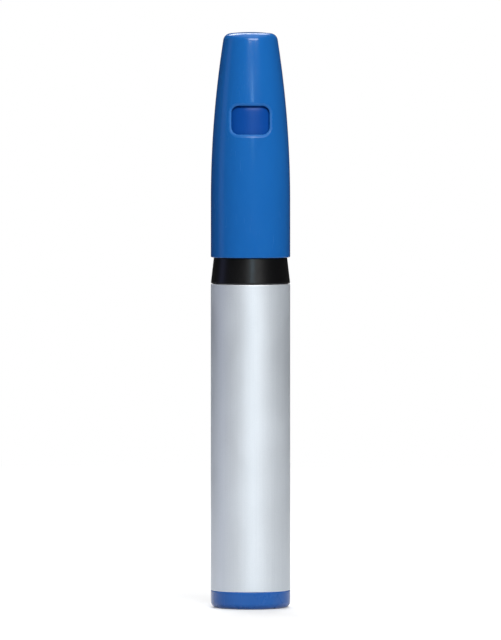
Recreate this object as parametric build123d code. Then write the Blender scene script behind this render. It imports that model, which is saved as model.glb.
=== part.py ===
from build123d import *
import math
import os

# A gel crayon that winds out of its barrel when the dark collar is turned, under a pull-off cap.
# Millimetres, +Z up. The origin is the middle of the rear face, on which the crayon stands.

# Walls and clearances, from the crayon outwards
crayon_radius = 5.85
slide_clearance = 0.25
guide_wall = 0.85
running_clearance = 0.15
barrel_wall = 0.90
nose_wall = 1.15
ledge_width = 0.15
cap_fit = 0.05
cap_wall = 0.70
press_clearance = 0.02
end_gap = 0.40
edge_break = 0.15
overrun = 1.0

# End plug, with the socket that holds the screw's root
flange_thickness = 3.5
flange_edge_radius = 1.2
spigot_length = 5.0
hub_length = 3.5
socket_floor = 4.5
hex_across_flats = 5.0

# Drag ring, square in section
ring_section = 1.0
ring_rub = 0.03
ring_side_room = 0.10

# Barrel, with the bead that keeps the guide tube in
barrel_length = 61.8
bead_height = 0.38
bead_length = 1.2
bead_below_rim = 2.4
groove_depth = 0.35
groove_side_room = 0.30

# Drive screw: two starts, right-handed
thread_starts = 2
thread_lead = 12.0
thread_length = 40.0
thread_core_thickness = 2.4
thread_core_width = 2.4
thread_crest_radius = 2.2
thread_crest_width = 1.2
thread_clearance = 0.12
turns_each_way = 3 / 4

# Carrier nut, with the cup that holds the crayon
nut_length = 4.0
nut_clearance = 0.10
cup_depth = 5.0
cup_wall = 0.60
key_count = 4
key_width = 1.6
key_depth = 0.40
key_length = 6.0
keyway_end_below_groove = 2.0

# Collar: a flared band with the nose above it
twist_gap = 0.15
band_height = 5.1
nose_height = 9.5
socket_depth = 4.0
rim_radius = 0.75

# Gel crayon at rest, wound out by the tip's reach
tip_reach = 8.6
dome_height = 5.6
crayon_bore_clearance = 0.35

# Cap shell: a short skirt, then one long arc up to a nearly flat crown
cap_seat_gap = 0.10
cap_length = 45.35
crown_radius = 5.3
crown_thickness = 1.4
crown_rise = 0.40
crown_round = 1.6
window_width = 7.6
window_height = 5.7
window_corner_radius = 1.45
window_below_crown = 17.7
window_bevel = 0.25

# Cap liner: an inner cup over the tip
liner_seat_gap = 0.05
liner_flange_height = 2.0
liner_gap = 0.25
liner_wall = 0.60
mouth_clearance = 0.40
tip_room = 5.4
liner_round = 4.0
vent_count = 4
vent_width = 1.5
vent_depth = 0.40

# Radii that follow
guide_bore_radius = crayon_radius + slide_clearance
guide_radius = guide_bore_radius + guide_wall
keyway_radius = guide_bore_radius + key_depth
barrel_bore_radius = guide_radius + running_clearance
body_radius = barrel_bore_radius + barrel_wall
nose_radius = guide_bore_radius + nose_wall
ledge_outer_radius = nose_radius + ledge_width
cap_bore_radius = nose_radius + cap_fit
cap_radius = cap_bore_radius + cap_wall
nut_radius = guide_bore_radius - nut_clearance
cup_bore_radius = nut_radius - cup_wall
hub_radius = keyway_radius - running_clearance

# Heights that follow
travel = thread_lead * turns_each_way
spigot_top = flange_thickness + spigot_length
hub_top = spigot_top + hub_length
thread_top = hub_top + thread_length
guide_bottom = spigot_top + end_gap
ring_height = (guide_bottom + hub_top) / 2
nut_bottom = hub_top + travel + end_gap
cup_floor = nut_bottom + nut_length
cup_rim = cup_floor + cup_depth
barrel_top = flange_thickness + barrel_length
bead_middle = barrel_top - bead_below_rim
groove_half_length = bead_length / 2 + groove_side_room
keyway_top = bead_middle - groove_half_length - keyway_end_below_groove
collar_bottom = barrel_top + twist_gap
guide_top = collar_bottom + socket_depth
ledge_height = collar_bottom + band_height
nose_top = ledge_height + nose_height
tip_height = nose_top + tip_reach
cap_bottom = ledge_height + cap_seat_gap
cap_top = cap_bottom + cap_length
liner_bottom = nose_top + liner_seat_gap
skirt_top = liner_bottom + liner_flange_height
liner_top = tip_height + travel + tip_room + liner_wall
window_middle = cap_top - window_below_crown

# The cap's side is an arc that leaves the skirt straight up
crown_edge_height = cap_top - crown_rise
side_height = crown_edge_height - skirt_top
side_inset = cap_radius - crown_radius
side_arc_radius = (side_height ** 2 + side_inset ** 2) / (2 * side_inset)


def cap_side(height, inset):
    """The (radius, height) point on the cap's side, drawn a given distance inside it."""
    rise = height - skirt_top
    arc = side_arc_radius - inset
    return (cap_radius - side_arc_radius + math.sqrt(arc ** 2 - rise ** 2), height)


def cap_side_arc(top, inset):
    """The side's arc from the top of the skirt up to a height."""
    return TangentArc(cap_side(skirt_top, inset), cap_side(top, inset), tangent=(0, 1))


def nearest(face, corners):
    """The corners of a flat face that lie nearest the given points."""
    return [face.vertices().sort_by_distance(Vector(*corner))[0] for corner in corners]


def softened(face, radius, *corners):
    """Round the corners of a flat face that lie nearest the given points."""
    return fillet(nearest(face, corners), radius)


def broken(face, *corners):
    """Break the sharp corners of a flat face that lie nearest the given points."""
    return chamfer(nearest(face, corners), edge_break)


def turned(face):
    """Revolve a face, drawn as (radius, height), about the Z axis."""
    return revolve(Plane.XZ * face, Axis.Z)


def ring(inner, outer, bottom, top):
    """The outline of a plain ring or, with no inner radius, a disc."""
    return make_face(Polyline((inner, bottom), (outer, bottom), (outer, top), (inner, top), close=True))


def thread_section(clearance):
    """The screw seen along its axis: a flat core with one tapered lobe for each start."""
    core = thread_core_thickness / 2 + clearance
    shoulder = thread_core_width / 2 + clearance
    crest = thread_crest_radius + clearance
    half_crest = thread_crest_width / 2 + clearance
    lobe = [(shoulder, -core), (crest, -half_crest), (crest, half_crest), (shoulder, core)]
    turns = [360 * index / thread_starts for index in range(thread_starts)]
    outline = [Vector(*point).rotate(Axis.Z, turn) for turn in turns for point in lobe]
    return make_face(Polyline(outline, close=True))


def thread(bottom, top, clearance):
    """A length of the right-hand thread, in phase with the screw wherever it starts."""
    phase = 360 * (bottom - hub_top) / thread_lead
    section = Pos(0, 0, bottom) * Rot(0, 0, phase) * thread_section(clearance)
    turn = 360 * (top - bottom) / thread_lead
    return Solid.extrude_linear_with_rotation(section.face(), (0, 0, bottom), (0, 0, top - bottom), turn)


def hexagon(bottom, top, clearance):
    """A hexagonal bar, for the screw's root and its socket."""
    outline = RegularPolygon(hex_across_flats / 2 + clearance, 6, major_radius=False)
    return extrude(Pos(0, 0, bottom) * outline, top - bottom)


def make_end_plug():
    """Flange, spigot and hub in one moulding, with the drag ring's groove and the screw's socket."""
    flange = softened(ring(0, body_radius, 0, flange_thickness), flange_edge_radius, (body_radius, 0))
    flange = broken(flange, (body_radius, flange_thickness))
    spigot = ring(0, barrel_bore_radius - press_clearance, flange_thickness, spigot_top)
    hub = broken(ring(0, hub_radius, spigot_top, hub_top), (hub_radius, hub_top))
    groove_floor = keyway_radius - ring_rub - ring_section - press_clearance
    half_width = ring_section / 2 + ring_side_room
    groove = ring(groove_floor, hub_radius + overrun, ring_height - half_width, ring_height + half_width)
    solid = turned(flange + spigot + hub - groove)
    return solid - hexagon(socket_floor, hub_top + overrun, press_clearance)


def make_drag_ring():
    """A rubber ring that sits in the plug's groove and rubs the guide tube's mouth."""
    outer = keyway_radius - ring_rub
    half = ring_section / 2
    return turned(ring(outer - ring_section, outer, ring_height - half, ring_height + half))


def make_barrel():
    """A plain tube with a low snap bead inside its upper end."""
    tube = ring(barrel_bore_radius, body_radius, flange_thickness, barrel_top)
    tube = broken(tube, (body_radius, flange_thickness), (body_radius, barrel_top))
    half = bead_length / 2
    crest = half - bead_height / 2
    bead = make_face(Polyline(
        (barrel_bore_radius, bead_middle - half),
        (barrel_bore_radius - bead_height, bead_middle - crest),
        (barrel_bore_radius - bead_height, bead_middle + crest),
        (barrel_bore_radius, bead_middle + half),
        close=True,
    ))
    return turned(tube + bead)


def make_drive_screw():
    """The long screw on its hexagonal root."""
    root = hexagon(socket_floor, hub_top, 0)
    return root + thread(hub_top, thread_top, 0)


def make_guide_tube():
    """The tube that turns with the collar and drives the carrier through its keyways."""
    mouth_top = hub_top + end_gap
    tube = ring(guide_bore_radius, guide_radius, guide_bottom, guide_top)
    tube -= ring(guide_bore_radius - overrun, keyway_radius, guide_bottom - overrun, mouth_top)
    tube -= ring(
        guide_radius - groove_depth,
        guide_radius + overrun,
        bead_middle - groove_half_length,
        bead_middle + groove_half_length,
    )
    tube = broken(tube, (guide_radius, guide_bottom), (guide_radius, guide_top))
    keyway = Box(
        keyway_radius - cup_bore_radius,
        key_width + 2 * nut_clearance,
        keyway_top - mouth_top,
        align=(Align.MIN, Align.CENTER, Align.MIN),
    )
    keyways = PolarLocations(cup_bore_radius, key_count)
    return turned(tube) - [Pos(0, 0, mouth_top) * place * keyway for place in keyways]


def make_nose_collar():
    """The twist collar: a band that flares down to the barrel, and the round nose above it."""
    outline = make_face([
        Line((guide_bore_radius, collar_bottom), (body_radius, collar_bottom)),
        Line((body_radius, collar_bottom), (ledge_outer_radius, ledge_height)),
        Line((ledge_outer_radius, ledge_height), (nose_radius, ledge_height)),
        Line((nose_radius, ledge_height), (nose_radius, nose_top)),
        Line((nose_radius, nose_top), (guide_bore_radius, nose_top)),
        Line((guide_bore_radius, nose_top), (guide_bore_radius, collar_bottom)),
    ])
    outline = softened(outline, rim_radius, (nose_radius, nose_top))
    outline = broken(outline, (guide_bore_radius, nose_top))
    socket_radius = guide_radius + press_clearance
    outline -= ring(guide_bore_radius - overrun, socket_radius, collar_bottom - overrun, guide_top)
    return turned(outline)


def make_carrier_nut():
    """The nut that climbs the screw, its cup for the crayon, and its keys."""
    body = ring(0, nut_radius, nut_bottom, cup_rim)
    body -= ring(0, cup_bore_radius, cup_floor, cup_rim + overrun)
    body = broken(body, (nut_radius, nut_bottom), (nut_radius, cup_rim))
    key = Box(
        keyway_radius - nut_clearance - cup_bore_radius,
        key_width,
        key_length,
        align=(Align.MIN, Align.CENTER, Align.MIN),
    )
    keys = PolarLocations(cup_bore_radius, key_count)
    solid = turned(body) + [Pos(0, 0, nut_bottom) * place * key for place in keys]
    return solid - thread(nut_bottom - overrun, cup_floor + overrun, thread_clearance)


def make_gel_crayon():
    """The crayon, with a root in the carrier's cup and a bore that the screw can enter."""
    root_radius = cup_bore_radius - press_clearance
    bore_radius = thread_crest_radius + crayon_bore_clearance
    bore_top = thread_top + travel + end_gap
    dome_bottom = tip_height - dome_height
    outline = make_face([
        Line((bore_radius, cup_floor), (root_radius, cup_floor)),
        Line((root_radius, cup_floor), (root_radius, cup_rim)),
        Line((root_radius, cup_rim), (crayon_radius, cup_rim)),
        Line((crayon_radius, cup_rim), (crayon_radius, dome_bottom)),
        TangentArc((0, tip_height), (crayon_radius, dome_bottom), tangent=(1, 0)),
        Line((0, tip_height), (0, bore_top)),
        Line((0, bore_top), (bore_radius, bore_top)),
        Line((bore_radius, bore_top), (bore_radius, cup_floor)),
    ])
    return turned(outline)


def make_window():
    """A rounded opening right through the cap, front and back."""
    outline = RectangleRounded(window_width, window_height, window_corner_radius)
    return extrude(Plane.XZ * (Pos(0, window_middle) * outline), cap_radius + overrun, both=True)


def make_cap_shell():
    """The outer cap: skirt, arched side and crown, with two windows that are bevelled outside."""
    inner_top = cap_top - crown_thickness
    crown_edge = cap_side(crown_edge_height, 0)
    inner_edge = cap_side(inner_top, cap_wall)
    outline = make_face([
        Line((cap_bore_radius, cap_bottom), (cap_radius, cap_bottom)),
        Line((cap_radius, cap_bottom), (cap_radius, skirt_top)),
        cap_side_arc(crown_edge_height, 0),
        TangentArc((0, cap_top), crown_edge, tangent=(1, 0)),
        Line((0, cap_top), (0, inner_top)),
        Line((0, inner_top), inner_edge),
        cap_side_arc(inner_top, cap_wall),
        Line((cap_bore_radius, skirt_top), (cap_bore_radius, cap_bottom)),
    ])
    outline = softened(outline, crown_round, crown_edge)
    outline = broken(outline, (cap_radius, cap_bottom), (cap_bore_radius, cap_bottom))
    whole = turned(outline)
    window = make_window()
    shell = whole - window
    middle_radius = cap_side(window_middle, cap_wall / 2)[0]
    mouth = new_edges(whole, window, combined=shell).filter_by(
        lambda edge: math.hypot(edge.center().X, edge.center().Y) > middle_radius
    )
    return chamfer(mouth, min(window_bevel, cap_wall / 2))


def make_cap_liner():
    """The inner cup: a vented flange in the skirt, then a thin wall that follows the cap's side."""
    outer_inset = cap_wall + liner_gap
    inner_inset = outer_inset + liner_wall
    inner_top = liner_top - liner_wall
    mouth_radius = crayon_radius + mouth_clearance
    outer_edge = cap_side(liner_top, outer_inset)
    inner_edge = cap_side(inner_top, inner_inset)
    body = make_face([
        Line(cap_side(skirt_top, inner_inset), cap_side(skirt_top, outer_inset)),
        cap_side_arc(liner_top, outer_inset),
        Line(outer_edge, (0, liner_top)),
        Line((0, liner_top), (0, inner_top)),
        Line((0, inner_top), inner_edge),
        cap_side_arc(inner_top, inner_inset),
    ])
    body = softened(body, liner_round, outer_edge)
    body = softened(body, liner_round - liner_wall, inner_edge)
    flange_radius = cap_bore_radius - press_clearance
    flange = ring(mouth_radius, flange_radius, liner_bottom, skirt_top)
    flange = broken(flange, (flange_radius, liner_bottom))
    vent = Box(
        vent_depth + overrun,
        vent_width,
        liner_flange_height + 2 * overrun,
        align=(Align.MIN, Align.CENTER, Align.MIN),
    )
    vents = PolarLocations(flange_radius - vent_depth, vent_count)
    flange = turned(flange) - [Pos(0, 0, liner_bottom - overrun) * place * vent for place in vents]
    return turned(body) + flange


def main():
    """Build every piece and write each to its own STEP file."""
    pieces = {
        "barrel": make_barrel(),
        "end_plug": make_end_plug(),
        "drive_screw": make_drive_screw(),
        "drag_ring": make_drag_ring(),
        "nose_collar": make_nose_collar(),
        "guide_tube": make_guide_tube(),
        "carrier_nut": make_carrier_nut(),
        "gel_crayon": make_gel_crayon(),
        "cap_shell": make_cap_shell(),
        "cap_liner": make_cap_liner(),
    }
    os.makedirs("parts", exist_ok=True)
    for name, piece in pieces.items():
        piece.label = name
        export_step(piece, f"parts/{name}.step")


main()
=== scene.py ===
"""Looks of a twist-up gel crayon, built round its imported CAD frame.

Each shown piece is remodelled as a fine mesh over its CAD solid and given a procedural finish.
Most pieces are turned from a section, and geometry trees cut, twist and join what follows a rule.
Sizes are in millimetres in the CAD's own frame, +Z up, and MM turns them into Blender's metres
when a mesh is made.
"""

import logging
from collections.abc import Iterable, Sequence
from dataclasses import dataclass
from enum import Enum
from math import acos, asin, atan, atan2, cos, hypot, pi, radians, remainder, sin, sqrt, tan
from typing import ClassVar

import bmesh
import bpy
from mathutils import Matrix, Vector


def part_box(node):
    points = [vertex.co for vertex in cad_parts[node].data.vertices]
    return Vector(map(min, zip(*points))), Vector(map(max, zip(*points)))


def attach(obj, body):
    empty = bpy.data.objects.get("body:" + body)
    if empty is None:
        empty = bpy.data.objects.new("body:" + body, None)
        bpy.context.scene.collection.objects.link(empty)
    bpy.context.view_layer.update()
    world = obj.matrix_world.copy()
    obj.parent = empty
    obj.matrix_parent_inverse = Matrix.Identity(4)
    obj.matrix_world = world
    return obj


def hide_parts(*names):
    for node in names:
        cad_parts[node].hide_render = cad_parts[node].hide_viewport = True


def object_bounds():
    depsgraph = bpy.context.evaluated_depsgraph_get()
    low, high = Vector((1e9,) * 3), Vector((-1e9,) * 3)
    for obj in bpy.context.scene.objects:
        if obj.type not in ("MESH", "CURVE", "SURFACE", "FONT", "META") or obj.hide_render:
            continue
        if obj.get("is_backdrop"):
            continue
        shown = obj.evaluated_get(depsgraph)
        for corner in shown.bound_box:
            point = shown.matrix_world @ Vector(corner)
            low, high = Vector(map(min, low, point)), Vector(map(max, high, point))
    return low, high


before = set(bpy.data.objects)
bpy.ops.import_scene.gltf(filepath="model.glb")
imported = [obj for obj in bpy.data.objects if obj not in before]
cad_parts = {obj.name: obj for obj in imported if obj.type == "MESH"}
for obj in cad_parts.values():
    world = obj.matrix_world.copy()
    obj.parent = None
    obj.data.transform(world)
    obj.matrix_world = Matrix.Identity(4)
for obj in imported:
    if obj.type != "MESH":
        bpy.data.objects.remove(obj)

MM = 0.001
FULL_TURN = 2 * pi
TINY = 1e-6
SEAM_WIDTH = 1e-7  # metres between points that are one
COLUMNS = 192  # faces round a turned piece
SHARP_ANGLE = radians(32)
KEEN_ROUND = 0.25  # the largest rounding that use rubs bare
SUPPORT_SHARE = 0.2  # of a side, at most, for a short face beside a rounding
PRESS_FIT = 0.02
HAIRLINE_LENGTH = 30  # widths
HAIRLINE_EDGE = 0.06
WHITE = (1.0, 1.0, 1.0)

Point = tuple[float, float]
Colour = tuple[float, float, float]
Socket = bpy.types.NodeSocket
Value = float | Socket
Mesh = bmesh.types.BMesh
Material = bpy.types.Material
Thing = bpy.types.Object

log = logging.getLogger("crayon")


class Body(Enum):
    """The CAD bodies that the pieces ride on."""

    BARREL = "barrel"
    COLLAR = "collar"
    CRAYON = "crayon"
    CAP = "cap"


class Work(Enum):
    """How a tool shape meets the piece that it works on."""

    ADD = "UNION"
    CUT = "DIFFERENCE"


class Sum(Enum):
    """The sums that the node trees work."""

    PLUS = "ADD"
    MINUS = "SUBTRACT"
    TIMES = "MULTIPLY"
    OVER = "DIVIDE"
    MOST = "MAXIMUM"


# Sections of turned pieces


@dataclass(frozen=True)
class Corner:
    """A corner of a section, which runs anticlockwise with its outer side going up.

    Attributes:
        radius: Distance from the axis.
        height: Height above the floor.
        fillet: Radius of the rounding, or 0 for a sharp corner or a point of a curve.
        wear: How much a point of a curve is rubbed by use, from 0 to 1.
    """

    radius: float
    height: float
    fillet: float = 0.0
    wear: float = 0.0

    @property
    def point(self) -> Vector:
        """The corner as a flat vector."""
        return Vector((self.radius, self.height))


@dataclass(frozen=True)
class GateMark:
    """The mark that a moulding gate leaves in the middle of a piece.

    Attributes:
        radius: The mark's radius.
        depth: How far down it reaches.
        shape: Shares of the radius and the depth at each corner, with the corner's fillet.
    """

    radius: float
    depth: float
    shape: tuple[tuple[float, float, float], ...]

    def corners(self, level: float) -> list[Corner]:
        """The mark's corners on a face at a level."""
        return [
            Corner(self.radius * out, level - self.depth * down, fillet) for out, down, fillet in self.shape
        ]


def rounded(corners: Sequence[Corner], steps: int = 6, support: float = 0.05) -> list[Corner]:
    """Rounds the corners of a closed section.

    Use rubs a rounding bare in its middle, and less so the larger it is.

    Args:
        corners: The section's corners.
        steps: Straight pieces in each rounding.
        support: Length of the short face kept on each side of a rounding, for clean shading.

    Returns:
        The section's points, which have no fillets.
    """
    section = []
    for index, corner in enumerate(corners):
        if corner.fillet == 0:
            section.append(corner)
            continue
        before = corners[index - 1].point - corner.point
        after = corners[(index + 1) % len(corners)].point - corner.point
        back, onward = before.normalized(), after.normalized()
        half = before.angle(after) / 2
        reach = corner.fillet / tan(half)
        centre = corner.point + (back + onward).normalized() * corner.fillet / sin(half)
        start, end = corner.point + back * reach, corner.point + onward * reach
        first = atan2(*(start - centre).yx)
        turn = remainder(atan2(*(end - centre).yx) - first, FULL_TURN)
        rubbed = min(1.0, KEEN_ROUND / corner.fillet)
        section.append(Corner(*(start + back * min(support, SUPPORT_SHARE * before.length))))
        for step in range(steps + 1):
            angle = first + turn * step / steps
            spoke = Vector((cos(angle), sin(angle))) * corner.fillet
            section.append(Corner(*(centre + spoke), wear=rubbed * sin(pi * step / steps)))
        section.append(Corner(*(end + onward * min(support, SUPPORT_SHARE * after.length))))
    return section


def arc(
    centre: Point, radius: float, start: float, end: float, steps: int, wear: float = 0.0
) -> list[Corner]:
    """Points along an arc of a section.

    Args:
        centre: The arc's (radius, height) centre.
        radius: Its radius.
        start: Its first angle, from the outward direction, in radians.
        end: Its last angle.
        steps: The number of straight pieces.
        wear: How much the arc's middle is rubbed.

    Returns:
        The points, both ends included.
    """
    points = []
    for step in range(steps + 1):
        share = step / steps
        angle = start + (end - start) * share
        across, up = radius * cos(angle), radius * sin(angle)
        points.append(Corner(centre[0] + across, centre[1] + up, wear=wear * sin(pi * share)))
    return points


def on_axis(radius: float, height: float, angle: float) -> Vector:
    """The point in metres at a radius and height in millimetres, turned by an angle."""
    return Vector((radius * cos(angle), radius * sin(angle), height)) * MM


def add_ring(mesh: Mesh, points: Iterable[Vector], wear: float) -> list[bmesh.types.BMVert]:
    """Adds points to a mesh.

    Args:
        mesh: The mesh, which has a wear attribute.
        points: The points.
        wear: How much they are rubbed.

    Returns:
        The points as they are in the mesh.
    """
    layer = mesh.verts.layers.float["wear"]
    ring = [mesh.verts.new(point) for point in points]
    for vert in ring:
        vert[layer] = wear
    return ring


def turned(section: Sequence[Corner]) -> Mesh:
    """Turns a section about the Z axis.

    Args:
        section: The section's points.

    Returns:
        The mesh, with the section's wear as a point attribute.
    """
    mesh = bmesh.new()
    mesh.verts.layers.float.new("wear")
    rings = []
    for point in section:
        around = [0.0] if point.radius < TINY else [FULL_TURN * c / COLUMNS for c in range(COLUMNS)]
        ring = add_ring(mesh, (on_axis(point.radius, point.height, angle) for angle in around), point.wear)
        rings.append(ring * (COLUMNS // len(ring)))
    for row, lower in enumerate(rings):
        upper = rings[(row + 1) % len(rings)]
        for column in range(COLUMNS):
            after = (column + 1) % COLUMNS
            face = dict.fromkeys((lower[column], lower[after], upper[after], upper[column]))
            if len(face) > 2:
                mesh.faces.new(face)
    return mesh


def span(node: str) -> tuple[float, float, float]:
    """The bottom, the top and the radius of a CAD node in millimetres."""
    low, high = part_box(node)
    return low.z / MM, high.z / MM, high.x / MM


# Node trees


class Tree:
    """A node tree, with short calls for the nodes that every tree uses."""

    def __init__(self, tree: bpy.types.NodeTree) -> None:
        """Takes the tree."""
        self.tree = tree

    def add(
        self, kind: str, inputs: dict[str | int, object], output: str | int = 0, **settings: object
    ) -> Socket:
        """Adds a node.

        Args:
            kind: The node's type.
            inputs: Values or sockets by input name or index.
            output: The name or index of the output that is wanted.
            settings: The node's own properties.

        Returns:
            The output.
        """
        node = self.tree.nodes.new(kind)
        for name, value in settings.items():
            setattr(node, name, value)
        for name, value in inputs.items():
            self.give(node.inputs[name], value)
        return node.outputs[output]

    def give(self, socket: Socket, value: object) -> None:
        """Links a socket to another one, or sets its value.

        Args:
            socket: The socket.
            value: The other socket, or the value.
        """
        if isinstance(value, Socket):
            self.tree.links.new(value, socket)
        elif socket.type == "RGBA" and len(value) == 3:
            socket.default_value = (*value, 1.0)
        else:
            socket.default_value = value

    def math(self, operation: Sum, first: Value, second: Value) -> Socket:
        """Works one sum."""
        return self.add("ShaderNodeMath", {0: first, 1: second}, operation=operation.value)

    def range(self, value: Value, low: float, high: float, to_low: float, to_high: float) -> Socket:
        """Spreads the values between low and high over another range, clamped."""
        inputs = {"Value": value, "From Min": low, "From Max": high, "To Min": to_low, "To Max": to_high}
        return self.add("ShaderNodeMapRange", inputs)

    def seen(self) -> Socket:
        """1 for the rays that show the background: camera, glossy and transmission rays."""
        path = self.add("ShaderNodeLightPath", {}).node.outputs
        glossy = self.math(Sum.MOST, path["Is Glossy Ray"], path["Is Transmission Ray"])
        return self.math(Sum.MOST, path["Is Camera Ray"], glossy)


class Nodes(Tree):
    """A material's node tree, with short calls for the nodes that the finishes use."""

    def __init__(self, name: str) -> None:
        """Starts a material with its shader and its coordinates on the object."""
        self.material = bpy.data.materials.new(name)
        self.material.use_nodes = True
        super().__init__(self.material.node_tree)
        self.shader = self.tree.nodes["Principled BSDF"]
        self.place = self.add("ShaderNodeTexCoord", {}, "Object")

    def texture(self, kind: str, scale: Point, output: str, turn: float = 0.0, **inputs: float) -> Socket:
        """Adds a texture on the object's own coordinates.

        Args:
            kind: The texture node's type.
            scale: Features to a millimetre, across and along the axis.
            output: The output that is wanted.
            turn: How far the texture leans, in radians.
            inputs: Its other inputs.

        Returns:
            The output.
        """
        across, along = (value / MM for value in scale)
        placing = {"Vector": self.place, "Scale": (across, across, along), "Rotation": (turn, turn, 0.0)}
        inputs |= {"Vector": self.add("ShaderNodeMapping", placing), "Scale": 1.0}
        return self.add(kind, inputs, output)

    def noise(self, scale: Point, detail: float = 2.0, turn: float = 0.0) -> Socket:
        """Cloudy noise from 0 to 1."""
        return self.texture("ShaderNodeTexNoise", scale, "Fac", turn, Detail=detail)

    def cells(self, size: float) -> Socket:
        """A random value from 0 to 1 for each cell, of a size in millimetres."""
        return self.texture("ShaderNodeTexVoronoi", (1 / size, 1 / size), "Color")

    def clouds(
        self, scale: Point, detail: float, band: Point, values: Point = (0.0, 1.0), turn: float = 0.0
    ) -> Socket:
        """Cloudy noise that goes from one value to another over a band of the noise."""
        return self.range(self.noise(scale, detail, turn), *band, *values)

    def hairlines(self, across: float, turn: float, start: float) -> Socket:
        """Fine lines, so many to a millimetre and leaning by a turn; a higher start shows fewer."""
        scale = (across, across / HAIRLINE_LENGTH)
        return self.clouds(scale, 1.0, (start, start + HAIRLINE_EDGE), turn=turn)

    def mix(self, share: Value, first: Colour | Socket, second: Colour | Socket) -> Socket:
        """Mixes two colours by a share of the second; a mix node's colours are 6, 7 and output 2."""
        return self.add("ShaderNodeMix", {0: share, 6: first, 7: second}, 2, data_type="RGBA")

    def wear(self, patches: Socket) -> Socket:
        """The wear kept on the mesh, made patchy."""
        kept = self.add("ShaderNodeAttribute", {}, "Fac", attribute_name="wear")
        return self.math(Sum.TIMES, kept, patches)

    def plus(self, base: Socket, *parts: tuple[Socket, float]) -> Socket:
        """A base with patterns added to it, each times its weight."""
        for pattern, weight in parts:
            base = self.math(Sum.PLUS, base, self.math(Sum.TIMES, pattern, weight))
        return base

    def bumps(self, *heights: tuple[Socket, float]) -> None:
        """Raises the surface by patterns, each with its full height in micrometres.

        Args:
            heights: The patterns with their heights.
        """
        inputs = {"Strength": 1.0}
        for pattern, micrometres in heights:
            inputs |= {"Height": pattern, "Distance": micrometres * MM * MM}
            inputs["Normal"] = self.add("ShaderNodeBump", inputs)
        self.give(self.shader.inputs["Normal"], inputs["Normal"])

    def glow(self, colour: Colour) -> Socket:
        """A shader that is a plain light of a colour."""
        return self.add("ShaderNodeEmission", {"Color": colour, "Strength": 1.0})

    def show(self, surface: Socket) -> None:
        """Shows a shader as the material's surface."""
        self.give(self.tree.nodes["Material Output"].inputs["Surface"], surface)

    def set(self, **values: object) -> Material:
        """Sets the shader's inputs by name, with underscores for spaces, and returns the material."""
        for name, value in values.items():
            self.give(self.shader.inputs[name.replace("_", " ")], value)
        return self.material


# Finishes


def linear(red: int, green: int, blue: int) -> Colour:
    """Turns a screen colour of 0 to 255 into Blender's linear one."""
    shares = (value / 255 for value in (red, green, blue))
    return tuple(s / 12.92 if s <= 0.04045 else ((s + 0.055) / 1.055) ** 2.4 for s in shares)


@dataclass(frozen=True)
class Finish:
    """What a piece is made of.

    Attributes:
        name: The material's name, which is also the record's slot for it.
        colour: Its main colour.
        cloud: Its colour in the clouds, lines or dust that lie in it.
    """

    name: str
    colour: Colour
    cloud: Colour

    def material(self) -> Material:
        """Builds the material."""
        raise NotImplementedError


@dataclass(frozen=True)
class MouldedPlastic(Finish):
    """Injection-moulded plastic with flow clouds, hairlines, handling marks and rubbed edges.

    Attributes:
        rubbed: Its colour on rubbed edges.
        roughness: The polished surface's roughness.
        marks: How much duller the handled places are.
        grain: Height of the mould's grain in micrometres.
        grain_size: Width of a grain in millimetres.
        glow: Share of light that passes under the surface.
        index: Refractive index, which sets the strength of the gloss.
    """

    rubbed: Colour
    roughness: float = 0.2
    marks: float = 0.12
    grain: float = 0.8
    grain_size: float = 0.25
    glow: float = 0.0
    index: float = 1.49

    def material(self) -> Material:
        """Builds the material."""
        nodes = Nodes(self.name)
        dense = nodes.clouds((0.12, 0.05), 4.0, (0.35, 0.7), (0.0, 0.8))
        streaks = nodes.clouds((1.1, 0.02), 2.0, (0.5, 0.75), (0.0, 0.35))
        coloured = nodes.mix(nodes.math(Sum.MOST, dense, streaks), self.colour, self.cloud)
        edge = nodes.wear(nodes.clouds((1.4, 1.4), 3.0, (0.4, 0.62), (0.35, 0.9)))
        handled = nodes.clouds((0.16, 0.10), 5.0, (0.42, 0.66), (0.0, self.marks))
        along, askew = nodes.hairlines(7.0, 0.12, 0.66), nodes.hairlines(5.0, 0.9, 0.70)
        lines = nodes.math(Sum.MOST, along, askew)
        dull = nodes.plus(handled, (lines, 0.10), (edge, 0.60))
        peel, grain = (nodes.noise(scale) for scale in ((0.55, 0.35), (1 / self.grain_size,) * 2))
        nodes.bumps((peel, 1.2), (grain, self.grain), (lines, -0.5))
        return nodes.set(
            Base_Color=nodes.mix(edge, coloured, self.rubbed),
            Roughness=nodes.math(Sum.PLUS, dull, self.roughness),
            Subsurface_Weight=self.glow,
            Subsurface_Radius=(0.2, 0.5, 1.0),
            Subsurface_Scale=0.4 * MM,
            IOR=self.index,
        )


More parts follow.
